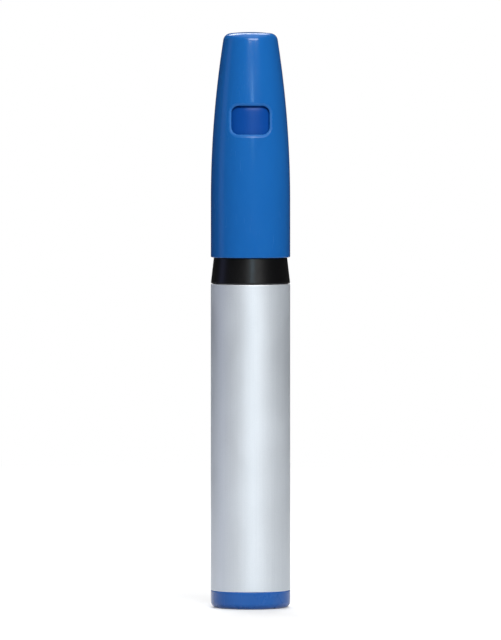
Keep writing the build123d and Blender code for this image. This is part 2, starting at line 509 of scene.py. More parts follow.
@dataclass(frozen=True)
class MetalLacquer(Finish):
    """Satin silver lacquer: fine flake under a soft clear coat, with faint draw lines.

    Attributes:
        bare: The tube's own colour, which shows on rubbed edges.
        metal: Share of metal in the coat.
        roughness: The coat's roughness.
        flake: Width of a flake in millimetres.
    """

    bare: Colour
    metal: float = 0.68
    roughness: float = 0.48
    flake: float = 0.07

    def material(self) -> Material:
        """Builds the material."""
        nodes = Nodes(self.name)
        flakes = nodes.cells(self.flake)
        sparkle = nodes.range(flakes, 0.0, 1.0, 0.0, 0.25)
        thin = nodes.clouds((0.10, 0.04), 4.0, (0.3, 0.7), (0.0, 0.7))
        drawn = nodes.clouds((3.5, 0.03), 3.0, (0.4, 0.7), (0.0, 0.12))
        tone = nodes.plus(nodes.math(Sum.PLUS, drawn, sparkle), (thin, 0.5))
        edge = nodes.wear(nodes.clouds((1.6, 1.6), 3.0, (0.4, 0.6), (0.1, 0.9)))
        handled = nodes.clouds((0.14, 0.09), 5.0, (0.42, 0.66), (0.0, 0.09))
        lines = nodes.hairlines(6.0, 0.25, 0.70)
        dull = nodes.plus(handled, (lines, 0.10), (sparkle, 0.25))
        waves = nodes.noise((0.5, 0.2))
        nodes.bumps((waves, 2.5), (flakes, 0.35), (lines, -0.4))
        return nodes.set(
            Base_Color=nodes.mix(edge, nodes.mix(tone, self.colour, self.cloud), self.bare),
            Metallic=self.metal,
            Roughness=nodes.math(Sum.PLUS, dull, self.roughness),
            Coat_Weight=0.06,
            Coat_Roughness=0.22,
        )


@dataclass(frozen=True)
class WaxyGel(Finish):
    """Pigmented gel wax with a soft sheen, drag lines, pin holes and paler smears.

    Attributes:
        smear: Its colour where it was rubbed thin.
        tip: Height in millimetres at which the rubbed tip starts.
        fade: How far above that it is rubbed fully.
    """

    smear: Colour
    tip: float
    fade: float = 3.0

    def material(self) -> Material:
        """Builds the material."""
        nodes = Nodes(self.name)
        dense = nodes.clouds((0.22, 0.14), 4.0, (0.3, 0.7), (0.0, 0.6))
        drag = nodes.clouds((2.2, 0.10), 3.0, (0.42, 0.7), (0.0, 0.6))
        coloured = nodes.mix(nodes.math(Sum.MOST, dense, drag), self.colour, self.cloud)
        height = nodes.add("ShaderNodeSeparateXYZ", {0: nodes.place}, "Z")
        rubbed = nodes.range(height, self.tip * MM, (self.tip + self.fade) * MM, 0.0, 1.0)
        smears = nodes.clouds((0.5, 0.9), 4.0, (0.48, 0.68), (0.0, 0.45), 0.7)
        pits = nodes.clouds((1.6, 1.6), 2.0, (0.68, 0.74))
        lumps, wax = nodes.noise((0.4, 0.4), 3.0), nodes.noise((4.0, 4.0))
        nodes.bumps((lumps, 25.0), (drag, -5.0), (pits, -10.0), (wax, 1.8))
        return nodes.set(
            Base_Color=nodes.mix(nodes.math(Sum.TIMES, smears, rubbed), coloured, self.smear),
            Roughness=nodes.math(Sum.PLUS, nodes.math(Sum.TIMES, smears, 0.25), 0.36),
            Subsurface_Weight=0.25,
            Subsurface_Radius=(0.15, 0.4, 1.0),
            Subsurface_Scale=0.7 * MM,
            IOR=1.44,
        )


@dataclass(frozen=True)
class SoftRubber(Finish):
    """Dusty moulded rubber."""

    def material(self) -> Material:
        """Builds the material."""
        nodes = Nodes(self.name)
        dust = nodes.clouds((0.9, 0.9), 5.0, (0.45, 0.75), (0.0, 0.6))
        nodes.bumps((nodes.noise((6.0, 6.0)), 6.0))
        rough = nodes.range(dust, 0.0, 0.6, 0.62, 0.85)
        return nodes.set(Base_Color=nodes.mix(dust, self.colour, self.cloud), Roughness=rough)


CAP_BLUE = MouldedPlastic(
    "cap_blue", linear(27, 102, 176), linear(24, 96, 169), linear(30, 104, 176),
    roughness=0.14, marks=0.07, glow=0.08, index=1.37,
)
# The cup is moulded in the cap's blue plastic; its darker blue here is painted shade of the window's recess,
# added to the shade that the lamps cast there.
LINER_SHADED_BLUE = MouldedPlastic(
    "liner_blue", linear(14, 75, 155), linear(10, 68, 146), linear(36, 92, 170), roughness=0.30, index=1.22
)
PLUG_BLUE = MouldedPlastic(
    "plug_blue", linear(24, 94, 172), linear(20, 86, 162), linear(36, 102, 178),
    roughness=0.20, glow=0.08, index=1.42,
)
COLLAR_BLACK = MouldedPlastic(
    "collar_black", linear(10, 10, 11), linear(7, 7, 8), linear(40, 40, 44), roughness=0.29,
    marks=0.06, grain=2.0, grain_size=0.10, index=1.42,
)
SCREW_WHITE = MouldedPlastic(
    "screw_white", linear(232, 231, 224), linear(222, 220, 212), linear(242, 241, 236), roughness=0.38
)
GUIDE_GREY = MouldedPlastic(
    "guide_grey", linear(172, 174, 178), linear(160, 162, 167), linear(198, 199, 202), roughness=0.40
)
BARREL_SILVER = MetalLacquer(
    "barrel_silver", linear(222, 228, 233), linear(199, 206, 212), linear(236, 237, 238)
)
GEL_BLUE = WaxyGel("gel_blue", linear(20, 82, 166), linear(14, 68, 148), linear(60, 112, 190), tip=84.0)
RING_RUBBER = SoftRubber("ring_rubber", linear(30, 30, 31), linear(74, 73, 72))


# Objects


def link(name: str, data: bpy.types.ID) -> Thing:
    """Adds an object to the scene.

    Args:
        name: The object's name.
        data: Its mesh, lamp or camera.

    Returns:
        The object.
    """
    thing = bpy.data.objects.new(name, data)
    bpy.context.collection.objects.link(thing)
    return thing


def as_object(name: str, mesh: Mesh, material: Material) -> Thing:
    """Makes an object of a mesh.

    Args:
        name: The object's name.
        mesh: The mesh, which is used up.
        material: Its material.

    Returns:
        The object.
    """
    data = bpy.data.meshes.new(name)
    mesh.to_mesh(data)
    mesh.free()
    data.materials.append(material)
    return link(name, data)


def shade(data: bpy.types.Mesh) -> None:
    """Shades a mesh smooth, with its sharp corners kept."""
    data.shade_smooth()
    data.set_sharp_from_angle(angle=SHARP_ANGLE)


def dress(node: str, finish: Finish) -> None:
    """Gives a finish to a CAD node whose shape stays as it is."""
    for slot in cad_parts[node].material_slots:
        slot.material = finish.material()
    log.info("%s keeps its CAD shape", node)


# Geometry trees that work a piece


class Shaper(Tree):
    """A geometry node tree with named inputs, used once on a piece and then baked."""

    KINDS: ClassVar[dict[type, str]] = {
        int: "NodeSocketInt",
        float: "NodeSocketFloat",
        tuple: "NodeSocketVector",
        Material: "NodeSocketMaterial",
    }

    def __init__(self, piece: Thing, name: str, **inputs: object) -> None:
        """Starts the tree.

        Args:
            piece: The piece, whose material is the tree's last input.
            name: What the tree does.
            inputs: The other inputs after the geometry, by name.
        """
        super().__init__(bpy.data.node_groups.new(f"{piece.name}_{name}", "GeometryNodeTree"))
        self.piece = piece
        face = self.tree.interface
        for way in ("INPUT", "OUTPUT"):
            face.new_socket(name="Geometry", in_out=way, socket_type="NodeSocketGeometry")
        inputs["Finish"] = piece.data.materials[0]
        self.values = {
            face.new_socket(name=label, in_out="INPUT", socket_type=self.KINDS[type(value)]).identifier: value
            for label, value in inputs.items()
        }
        self.given = self.tree.nodes.new("NodeGroupInput").outputs

    def upright(self, length: Socket) -> Socket:
        """A vector along the axis, for a place or a turn."""
        return self.add("ShaderNodeCombineXYZ", {"Z": length})

    def turn(self, point: Socket, angle: Socket) -> Socket:
        """Turns a point about the axis."""
        return self.add("ShaderNodeVectorRotate", {"Vector": point, "Angle": angle}, rotation_type="Z_AXIS")

    def boolean(self, work: Work, tool: Socket) -> None:
        """Bakes the piece with a tool shape added to it or cut out of it.

        A cut takes the piece at the node's first input, and a union takes all its meshes at the second.

        Args:
            work: Whether the tool is added or cut out.
            tool: The closed tool.
        """
        result = self.add("GeometryNodeMeshBoolean", {}, operation=work.value, solver="MANIFOLD")
        first, second = result.node.inputs[:2]
        self.give(first if work is Work.CUT else second, self.given["Geometry"])
        self.give(second, tool)
        self.bake(result)

    def bake(self, geometry: Socket) -> None:
        """Runs the tree and keeps its result as the piece's plain mesh.

        Args:
            geometry: The result.
        """
        plain = self.add("GeometryNodeRealizeInstances", {0: geometry})
        dressed = self.add("GeometryNodeSetMaterial", {"Geometry": plain, "Material": self.given["Finish"]})
        self.give(self.tree.nodes.new("NodeGroupOutput").inputs[0], dressed)
        modifier = self.piece.modifiers.new(self.tree.name, "NODES")
        modifier.node_group = self.tree
        for identifier, value in self.values.items():
            modifier[identifier] = value
        bpy.context.view_layer.update()
        graph = bpy.context.evaluated_depsgraph_get()
        baked = bpy.data.meshes.new_from_object(self.piece.evaluated_get(graph))
        self.piece.modifiers.remove(modifier)
        self.piece.data = baked
        shade(baked)


@dataclass(frozen=True)
class RoundCuts:
    """A ring of equal blocks that are cut out of a piece.

    Attributes:
        count: The number of blocks.
        block: A block's size in millimetres, outward, sideways and up.
        middle: The first block's middle in millimetres.
    """

    count: int
    block: Vector
    middle: Vector

    def apply(self, piece: Thing) -> None:
        """Works on a piece.

        Args:
            piece: The piece.
        """
        block, middle = tuple(self.block * MM), self.middle
        shaper = Shaper(
            piece, "cuts", Count=self.count, Block=block, Reach=middle.x * MM, Height=middle.z * MM
        )
        given = shaper.given
        points = shaper.add("GeometryNodePoints", {"Count": given["Count"]})
        cube = shaper.add("GeometryNodeMeshCube", {"Size": given["Block"]})
        share = shaper.math(Sum.OVER, shaper.add("GeometryNodeInputIndex", {}), given["Count"])
        angle = shaper.math(Sum.TIMES, share, FULL_TURN)
        spoke = shaper.add("ShaderNodeCombineXYZ", {"X": given["Reach"], "Z": given["Height"]})
        inputs = {"Geometry": points, "Position": shaper.turn(spoke, angle)}
        spread = shaper.add("GeometryNodeSetPosition", inputs)
        inputs = {"Points": spread, "Instance": cube, "Rotation": shaper.upright(angle)}
        blocks = shaper.add("GeometryNodeInstanceOnPoints", inputs)
        shaper.boolean(Work.CUT, shaper.add("GeometryNodeRealizeInstances", {0: blocks}))


@dataclass(frozen=True)
class Hexagon:
    """A hexagonal bar on the axis that is added to a piece or cut out of it.

    Attributes:
        work: Whether the bar is added or cut out.
        across: The bar's width across its flats in millimetres.
        low: The height of its lower end.
        high: The height of its upper end.
    """

    SIDES: ClassVar[int] = 6

    work: Work
    across: float
    low: float
    high: float

    def apply(self, piece: Thing) -> None:
        """Works on a piece.

        Args:
            piece: The piece.
        """
        length, middle = (self.high - self.low) * MM, (self.high + self.low) / 2 * MM
        shaper = Shaper(
            piece, "hexagon", Sides=self.SIDES, Across=self.across * MM, Length=length, Height=middle
        )
        given = shaper.given
        radius = shaper.math(Sum.TIMES, given["Across"], 1 / sqrt(3))
        inputs = {"Vertices": given["Sides"], "Radius": radius, "Depth": given["Length"]}
        bar = shaper.add("GeometryNodeMeshCylinder", inputs)
        inputs = {"Geometry": bar, "Translation": shaper.upright(given["Height"])}
        shaper.boolean(self.work, shaper.add("GeometryNodeTransform", inputs))


@dataclass(frozen=True)
class Twist:
    """Draws a flat section out along the axis and twists it.

    Attributes:
        bottom: The height of the lower end in millimetres.
        top: The height of the upper end.
        lead: The rise of a full turn.
        steps: The number of sections.
    """

    bottom: float
    top: float
    lead: float
    steps: int

    def apply(self, piece: Thing) -> None:
        """Works on a piece.

        Args:
            piece: The piece, whose mesh is the section's loop of edges.
        """
        bottom, top, lead = self.bottom * MM, self.top * MM, self.lead * MM
        shaper = Shaper(piece, "twist", Bottom=bottom, Top=top, Lead=lead, Steps=self.steps)
        given = shaper.given
        ends = {"Start": shaper.upright(given["Bottom"]), "End": shaper.upright(given["Top"])}
        line = shaper.add("GeometryNodeCurvePrimitiveLine", ends)
        fine = shaper.add("GeometryNodeResampleCurve", {"Curve": line, "Count": given["Steps"]})
        section = shaper.add("GeometryNodeMeshToCurve", {"Mesh": given["Geometry"]})
        inputs = {"Curve": fine, "Profile Curve": section, "Fill Caps": True}
        bar = shaper.add("GeometryNodeCurveToMesh", inputs)
        spot = shaper.add("GeometryNodeInputPosition", {})
        height = shaper.add("ShaderNodeSeparateXYZ", {0: spot}, "Z")
        turns = shaper.math(Sum.OVER, shaper.math(Sum.MINUS, height, given["Bottom"]), given["Lead"])
        twisted = shaper.turn(spot, shaper.math(Sum.TIMES, turns, FULL_TURN))
        thread = shaper.add("GeometryNodeSetPosition", {"Geometry": bar, "Position": twisted})
        shaper.bake(shaper.add("GeometryNodeFlipFaces", {"Mesh": thread}))


Tool = RoundCuts | Hexagon | Twist


# Sub-assemblies


class Assembly:
    """The pieces that ride on one CAD body.

    Attributes:
        body: The body.
    """

    body: ClassVar[Body]

    def make(self, name: str, node: str, finish: Finish, mesh: Mesh, *tools: Tool) -> Thing:
        """Makes a piece and puts it in the frame in place of its CAD node.

        Args:
            name: The piece's name.
            node: The CAD node that it stands for.
            finish: Its finish, which is named like the record's material slot.
            mesh: Its mesh, which is used up.
            tools: What works on it, in order.

        Returns:
            The piece.
        """
        piece = as_object(name, mesh, finish.material())
        shade(piece.data)
        for tool in tools:
            tool.apply(piece)
        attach(piece, self.body.value)
        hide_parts(node)
        log.info("%s on %s: %d faces", piece.name, self.body.value, len(piece.data.polygons))
        return piece


@dataclass
class Barrel(Assembly):
    """The silver tube, the plug that closes its rear end, and the screw and drag ring inside."""

    body: ClassVar[Body] = Body.BARREL

    wall: float = 0.90
    edge: float = 0.16
    bore_edge: float = 0.1
    bead_height: float = 0.38
    bead_length: float = 1.2
    bead_below_rim: float = 2.4
    bead_edge: float = 0.06
    foot_round: float = 1.2
    foot_width: float = 1.3
    foot_slope: float = 0.25
    foot_edge: float = 0.12
    dish_depth: float = 0.35
    dish_round: float = 0.3
    gate: GateMark = GateMark(1.1, 0.16, ((0.0, 1.0, 0.0), (0.5, 1.0, 0.06), (0.6, 0.0, 0.05)))
    spigot_length: float = 5.0
    hub_length: float = 3.5
    hub_radius: float = 6.35
    hub_foot: float = 0.40
    ring_groove: Point = (5.40, 0.60)  # the floor's radius and half the width
    groove_edge: float = 0.05
    hex_across: float = 5.0
    hex_fit: float = 0.02
    screw_root: float = 4.5
    screw_lead: float = 12.0
    core: Point = (1.2, 1.2)  # a corner of the screw's section, outward and sideways
    core_round: float = 0.12
    crest: Point = (2.2, 0.6)  # a corner of its thread, outward and sideways
    crest_round: float = 0.18
    screw_steps: int = 240

    def build(self) -> list[Thing]:
        """Builds the pieces of the barrel's body."""
        dress("drag_ring", RING_RUBBER)
        return [self.tube(), self.plug(), self.screw()]

    def tube(self) -> Thing:
        """The plain tube with its snap bead."""
        bottom, top, radius = span("barrel")
        bore = radius - self.wall
        bead = top - self.bead_below_rim
        half = self.bead_length / 2
        crown = half - self.bead_height / 2
        lip = bore - self.bead_height
        section = rounded((
            Corner(bore, bottom, self.bore_edge),
            Corner(radius, bottom, self.edge),
            Corner(radius, top, self.edge),
            Corner(bore, top, self.bore_edge),
            Corner(bore, bead + half, self.bead_edge),
            Corner(lip, bead + crown, self.bead_edge),
            Corner(lip, bead - crown, self.bead_edge),
            Corner(bore, bead - half, self.bead_edge),
        ))
        return self.make("barrel_tube", "barrel", BARREL_SILVER, turned(section))

    def plug(self) -> Thing:
        """The plug with a dished foot and a gate mark in its middle."""
        bottom, _, radius = span("end_plug")
        shoulder, _, tube_radius = span("barrel")
        bore = tube_radius - self.wall - PRESS_FIT
        spigot_top = shoulder + self.spigot_length
        hub_top = spigot_top + self.hub_length
        foot = radius - self.foot_round - self.foot_width
        dish = bottom + self.dish_depth
        groove, half = self.ring_groove
        middle = (spigot_top + self.hub_foot + hub_top) / 2
        section = rounded((
            *self.gate.corners(dish),
            Corner(foot, dish, self.dish_round),
            Corner(foot + self.foot_slope, bottom, self.foot_edge),
            Corner(radius, bottom, self.foot_round),
            Corner(radius, shoulder, self.edge),
            Corner(bore, shoulder),
            Corner(bore, spigot_top, self.bore_edge),
            Corner(self.hub_radius, spigot_top),
            Corner(self.hub_radius, middle - half, self.groove_edge),
            Corner(groove, middle - half),
            Corner(groove, middle + half),
            Corner(self.hub_radius, middle + half, self.groove_edge),
            Corner(self.hub_radius, hub_top, self.bore_edge),
            Corner(0, hub_top),
        ), steps=8)
        across = self.hex_across + 2 * self.hex_fit
        socket = Hexagon(Work.CUT, across, self.screw_root, hub_top + self.hub_length)
        return self.make("rear_plug", "end_plug", PLUG_BLUE, turned(section), socket)

    def screw(self) -> Thing:
        """The two-start screw, twisted from its section, on its hexagonal root."""
        hub_top = span("barrel")[0] + self.spigot_length + self.hub_length
        twist = Twist(hub_top, span("drive_screw")[1], self.screw_lead, self.screw_steps)
        root = Hexagon(Work.ADD, self.hex_across, self.screw_root, hub_top)
        return self.make("lead_screw", "drive_screw", SCREW_WHITE, self.screw_section(), twist, root)

    def screw_section(self) -> Mesh:
        """The screw seen along its axis, as a loop of edges."""
        core, crest = Corner(*self.core, self.core_round), Corner(*self.crest, self.crest_round)
        lobe = [*(Corner(c.radius, -c.height, c.fillet) for c in (core, crest)), crest, core]
        other = [Corner(-c.radius, -c.height, c.fillet) for c in lobe]
        mesh = bmesh.new()
        loop = [mesh.verts.new(Vector((c.radius, c.height, 0)) * MM) for c in rounded(lobe + other, steps=4)]
        for index, vert in enumerate(loop):
            mesh.edges.new((loop[index - 1], vert))
        return mesh


@dataclass
class TwistCollar(Assembly):
    """The black collar, whose nose the cap slides over, and the keyed tube joined to it."""

    body: ClassVar[Body] = Body.COLLAR

    bore: float = 6.10
    tube_wall: float = 0.85
    socket_edge: float = 0.1
    socket_top: float = 69.45
    band_edge: float = 0.14
    ledge_height: float = 70.55
    ledge_radius: float = 7.40
    ledge_edge: float = 0.07
    nose_radius: float = 7.25
    nose_foot: float = 0.05
    nose_round: float = 0.75
    nose_lip: float = 0.15
    tube_edge: float = 0.12
    tube_lip: float = 0.08
    groove_depth: float = 0.35
    groove_half: float = 0.90
    groove_middle: float = 62.9
    groove_edge: float = 0.05
    mouth_radius: float = 6.50
    mouth_top: float = 12.4
    keyway_count: int = 4
    keyway_width: float = 1.8
    keyway_top: float = 60.0
    keyway_overrun: float = 0.2

    def build(self) -> list[Thing]:
        """Builds the pieces of the collar's body."""
        return [self.collar(), self.tube()]

    def collar(self) -> Thing:
        """The flared band and the round nose."""
        bottom, top, radius = span("nose_collar")
        socket = self.bore + self.tube_wall + PRESS_FIT
        section = rounded((
            Corner(socket, bottom, self.socket_edge),
            Corner(radius, bottom, self.band_edge),
            Corner(self.ledge_radius, self.ledge_height, self.ledge_edge),
            Corner(self.nose_radius, self.ledge_height, self.nose_foot),
            Corner(self.nose_radius, top, self.nose_round),
            Corner(self.bore, top, self.nose_lip),
            Corner(self.bore, self.socket_top),
            Corner(socket, self.socket_top),
        ), steps=10)
        return self.make("collar_shell", "nose_collar", COLLAR_BLACK, turned(section))

    def tube(self) -> Thing:
        """The guide tube with its keyways."""
        bottom, top, radius = span("guide_tube")
        floor = radius - self.groove_depth
        low, high = (self.groove_middle + side * self.groove_half for side in (-1, 1))
        section = rounded((
            Corner(self.mouth_radius, bottom, self.tube_lip),
            Corner(radius, bottom, self.tube_edge),
            Corner(radius, low, self.groove_edge),
            Corner(floor, low),
            Corner(floor, high),
            Corner(radius, high, self.groove_edge),
            Corner(radius, top, self.tube_edge),
            Corner(self.bore, top, self.tube_lip),
            Corner(self.bore, self.mouth_top),
            Corner(self.mouth_radius, self.mouth_top),
        ), steps=3)
        depth = 2 * (self.mouth_radius - self.bore)
        length = self.keyway_top - self.mouth_top
        middle = self.mouth_top - self.keyway_overrun / 2 + length / 2
        keyways = RoundCuts(
            self.keyway_count,
            Vector((depth, self.keyway_width, length + self.keyway_overrun)),
            Vector((self.mouth_radius - depth / 2, 0, middle)),
        )
        return self.make("keyed_tube", "guide_tube", GUIDE_GREY, turned(section), keyways)


@dataclass
class GelCore(Assembly):
    """The gel crayon in its carrier."""

    body: ClassVar[Body] = Body.CRAYON

    bore: float = 2.55
    bore_top: float = 61.4
    bore_round: float = 0.3
    root_radius: float = 5.38
    root_top: float = 30.4
    root_edge: float = 0.1
    shoulder_edge: float = 0.15
    dome_steps: int = 40
    witness_depth: float = 0.05
    witness_width: float = 0.25
    witness_edge: float = 0.06
    witness_below_dome: float = 1.2

    def build(self) -> list[Thing]:
        """Builds the pieces of the crayon's body."""
        dress("carrier_nut", SCREW_WHITE)
        return [self.crayon()]

    def crayon(self) -> Thing:
        """The crayon with its domed tip, and the faint line that its mould left under the dome."""
        bottom, tip, radius = span("gel_crayon")
        dome = tip - radius
        line = dome - self.witness_below_dome
        width = self.witness_width / 2
        section = rounded((
            Corner(self.bore, bottom, self.root_edge),
            Corner(self.root_radius, bottom, self.root_edge),
            Corner(self.root_radius, self.root_top),
            Corner(radius, self.root_top, self.shoulder_edge),
            Corner(radius, line - width),
            Corner(radius - self.witness_depth, line, self.witness_edge),
            Corner(radius, line + width),
            *arc((0, dome), radius, 0, pi / 2, self.dome_steps),
            Corner(0, self.bore_top),
            Corner(self.bore, self.bore_top, self.bore_round),
        ))
        return self.make("gel_stick", "gel_crayon", GEL_BLUE, turned(section))


@dataclass
class Cap(Assembly):
    """The pull-off cap with a window front and back, and the inner cup that shows in them.

    The side is one long arc above a straight skirt. Each window is a patch of rings between its
    rounded outline and a rectangle of the side's own grid, so that every point lies on the side.
    """

    body: ClassVar[Body] = Body.CAP

    wall: float = 0.70
    skirt_top: float = 82.10
    rim_round: float = 0.22
    bore_edge: float = 0.15
    crown_radius: float = 5.3
    crown_rise: float = 0.40
    crown_steps: int = 16
    shoulder_round: float = 1.6
    shoulder_wear: float = 0.18
    shoulder_steps: int = 14
    roof_thickness: float = 1.4
    roof_round: float = 0.5
    roof_clear: float = 0.6
    gate: GateMark = GateMark(
        0.8, 0.10, ((1.0, 0.0, 0.06), (0.8, 1.0, 0.05), (0.35, 1.0, 0.04), (0.25, 0.3, 0.04), (0.0, 0.3, 0.0))
    )
    side_step: float = 0.7
    window_half: Point = (3.8, 2.85)  # half the width and half the height
    window_round: float = 1.45
    window_below_crown: float = 17.7
    lip_width: float = 0.75
    lip_depth: float = 0.46
    lip_steps: int = 12
    lip_support: float = 0.06
    back_lip: float = 0.12
    back_steps: int = 4
    reveal_ends: Point = (0.04, 0.02)  # short faces beside the lip and the back lip
    patch_columns: int = 48
    patch_rows: int = 32
    patch_half: float = 5.6
    patch_rings: int = 9
    patch_crowding: float = 1.25
    cup_gap: float = 0.25
    cup_wall: float = 0.60
    cup_round: float = 4.0
    cup_steps: int = 24
    cup_mouth: float = 6.25
    cup_edges: tuple[float, float, float] = (0.12, 0.15, 0.1)  # at the mouth, the flange and the ledge
    vent_count: int = 4
    vent_width: float = 1.5
    vent_depth: float = 0.40
    vent_overrun: float = 0.3

    def __post_init__(self) -> None:
        """Reads the cap's place from the frame and works out its side."""
        self.bottom, self.top, self.radius = span("cap_shell")
        self.middle: float = self.top - self.window_below_crown
        inset = self.radius - self.crown_radius
        rise = self.top - self.crown_rise - self.skirt_top
        self.side_arc: float = (rise**2 + inset**2) / (2 * inset)
        self.side_centre = Vector((self.radius - self.side_arc, self.skirt_top))

    def build(self) -> list[Thing]:
        """Builds the pieces of the cap's body."""
        return [self.shell(), self.cup()]

    def side(self, height: float, inset: float) -> float:
        """The radius of the side at a height, a distance inside its outer face."""
        rise = max(height - self.skirt_top, 0.0)
        return self.side_centre.x + sqrt((self.side_arc - inset) ** 2 - rise**2)

    def side_at(self, heights: Iterable[float], inset: float) -> list[Corner]:
        """Points on the side at some heights, a distance inside its outer face."""
        return [Corner(self.side(height, inset), height) for height in heights]

    def side_points(self, low: float, high: float, inset: float) -> list[Corner]:
        """Points on the side from one height up to another, both left out."""
        steps = max(2, round((high - low) / self.side_step))
        return self.side_at((low + (high - low) * step / steps for step in range(1, steps)), inset)

    def patch_heights(self) -> list[float]:
        """The heights of the grid's rows across a window's patch."""
        step = 2 * self.patch_half / self.patch_rows
        return [self.middle - self.patch_half + step * row for row in range(self.patch_rows + 1)]

    def side_with_rows(self, top: float, inset: float) -> list[Corner]:
        """Points on the side between the skirt and a top, with the patch's rows among them."""
        rows = self.patch_heights()
        return [
            *self.side_points(self.skirt_top, rows[0], inset),
            *self.side_at(rows, inset),
            *self.side_points(rows[-1], top, inset),
        ]

    def crown(self) -> tuple[list[Corner], float]:
        """The rounded shoulder, the crown and the gate mark in its middle.

        Returns:
            The points up to the axis, and the height at which the shoulder leaves the side.
        """
        ball = (self.crown_radius**2 + self.crown_rise**2) / (2 * self.crown_rise)
        ball_centre = Vector((0, self.top - ball))
        between = ball_centre - self.side_centre
        far, near = self.side_arc - self.shoulder_round, ball - self.shoulder_round
        along = (far**2 - near**2 + between.length_squared) / (2 * between.length)
        across = sqrt(far**2 - along**2)
        way = between.normalized()
        centre = self.side_centre + way * along + Vector((-way.y, way.x)) * across
        start = atan2(*(centre - self.side_centre).yx)
        end = atan2(*(centre - ball_centre).yx)
        shoulder = arc(centre, self.shoulder_round, start, end, self.shoulder_steps, self.shoulder_wear)
        last = acos(self.gate.radius / ball)
        flat = arc(ball_centre, ball, end, last, self.crown_steps)[1:-1]
        return shoulder + flat + self.gate.corners(flat[-1].height), shoulder[0].height

    def shell(self) -> Thing:
        """The outer cap, turned in one piece with its two windows let in."""
        crown, side_top = self.crown()
        roof = self.top - self.roof_thickness
        section = rounded((
            Corner(self.radius - self.wall, self.bottom, self.bore_edge),
            Corner(self.radius, self.bottom, self.rim_round),
            Corner(self.radius, self.skirt_top),
            *self.side_with_rows(side_top, 0),
            *crown,
            Corner(0, roof),
            Corner(self.side(roof, self.wall), roof, self.roof_round),
            *reversed(self.side_with_rows(roof - self.roof_clear, self.wall)),
            *self.side_at((self.skirt_top,), self.wall),
        ))
        mesh = turned(section)
        patches = [face for face in mesh.faces if self.in_patch(face.calc_center_median() / MM)]
        bmesh.ops.delete(mesh, geom=patches, context="FACES")
        for quarters in (1, 3):
            self.add_window(mesh, FULL_TURN * quarters / 4)
        bmesh.ops.remove_doubles(mesh, verts=mesh.verts, dist=SEAM_WIDTH)
        return self.make("cap_cover", "cap_shell", CAP_BLUE, mesh)

    def in_patch(self, point: Vector) -> bool:
        """Says whether a point lies in the front or the back window's patch."""
        reach = FULL_TURN / COLUMNS * self.patch_columns / 2
        return abs(point.z - self.middle) < self.patch_half and atan2(abs(point.x), abs(point.y)) < reach

    def window_loop(self, grow: float) -> list[Point]:
        """Points round a window's outline, from the middle of a lower corner, anticlockwise.

        Args:
            grow: How far outside the outline the loop runs.

        Returns:
            As many (sideways, up) points as the patch's rectangle has.
        """
        radius = self.window_round + grow
        halves = [half + grow for half in self.window_half]
        quarter = radius * pi / 4
        points = []
        for side in range(4):
            count = self.patch_rows if side % 2 else self.patch_columns
            along, away = halves[side % 2] - radius, halves[1 - side % 2] - radius
            total = 2 * (along + quarter)
            turn = Matrix.Rotation(side * pi / 2, 2)
            for index in range(count):
                distance = total * index / count - quarter
                straight = min(max(distance, 0.0), 2 * along)
                bend = (distance - straight) / radius - pi / 2
                flat = Vector((straight - along + radius * cos(bend), -away + radius * sin(bend)))
                points.append(tuple(turn @ flat))
        return points

    def patch_edge(self) -> list[Point]:
        """The (angle, height) points round the patch's rectangle, in the order of a window's loop."""
        step = FULL_TURN / COLUMNS
        half = self.patch_columns // 2
        heights = self.patch_heights()
        columns = [step * column for column in range(-half, half + 1)]
        return [
            *((angle, heights[0]) for angle in columns[:-1]),
            *((columns[-1], height) for height in heights[:-1]),
            *((angle, heights[-1]) for angle in columns[:0:-1]),
            *((columns[0], height) for height in heights[:0:-1]),
        ]

    def on_side(self, grow: float, inset: float) -> list[Point]:
        """A window's loop as (angle, height) points on the side, a distance inside its outer face."""
        placed = ((across, self.middle + up) for across, up in self.window_loop(grow))
        return [(asin(across / self.side(height, inset)), height) for across, height in placed]

    def spread(self, grow: float, inset: float) -> list[list[Point]]:
        """Rings between the patch's rectangle and a window's loop, the rectangle first.

        Args:
            grow: How far outside the window's outline the last ring runs.
            inset: The distance inside the cap's outer face.

        Returns:
            The rings as (angle, height) points.
        """
        outer, inner = self.patch_edge(), self.on_side(grow, inset)
        rings = []
        for ring in range(self.patch_rings + 1):
            share = (1 - ring / self.patch_rings) ** self.patch_crowding
            rings.append([
                (a * (1 - share) + b * share, c * (1 - share) + d * share)
                for (a, c), (b, d) in zip(inner, outer)
            ])
        return rings

    def reveal(self) -> list[tuple[float, float, float]]:
        """The worn lip, the wall and the small back lip of a window.

        Returns:
            For each ring, how far outside the outline it runs, its inset and its wear.
        """
        lip, back_lip = (arc((0, 0), 1, 0, pi / 2, steps, 1) for steps in (self.lip_steps, self.back_steps))
        back = self.wall - self.back_lip
        front_end, back_end = self.reveal_ends
        return [
            *((self.lip_width * (1 - c.height), self.lip_depth * (1 - c.radius), c.wear) for c in lip),
            (0, self.lip_depth + front_end, 0.0),
            (0, back - back_end, 0.0),
            *((self.back_lip * (1 - c.radius), back + self.back_lip * c.height, 0.0) for c in back_lip),
        ]

    def add_window(self, mesh: Mesh, facing: float) -> None:
        """Lets a window into the shell.

        Args:
            mesh: The shell, with the patch left open.
            facing: The angle that the window faces.
        """
        front = self.spread(self.lip_width + self.lip_support, 0.0)
        back = self.spread(self.back_lip + self.lip_support, self.wall)
        rings = [
            *((ring, 0.0, 0.0) for ring in front),
            *((self.on_side(grow, inset), inset, wear) for grow, inset, wear in self.reveal()),
            *((ring, self.wall, 0.0) for ring in reversed(back)),
        ]
        made = [
            add_ring(mesh, [on_axis(self.side(z, inset), z, facing + angle) for angle, z in ring], wear)
            for ring, inset, wear in rings
        ]
        for outer, within in zip(made, made[1:]):
            for index in range(len(outer)):
                mesh.faces.new((outer[index - 1], outer[index], within[index], within[index - 1]))

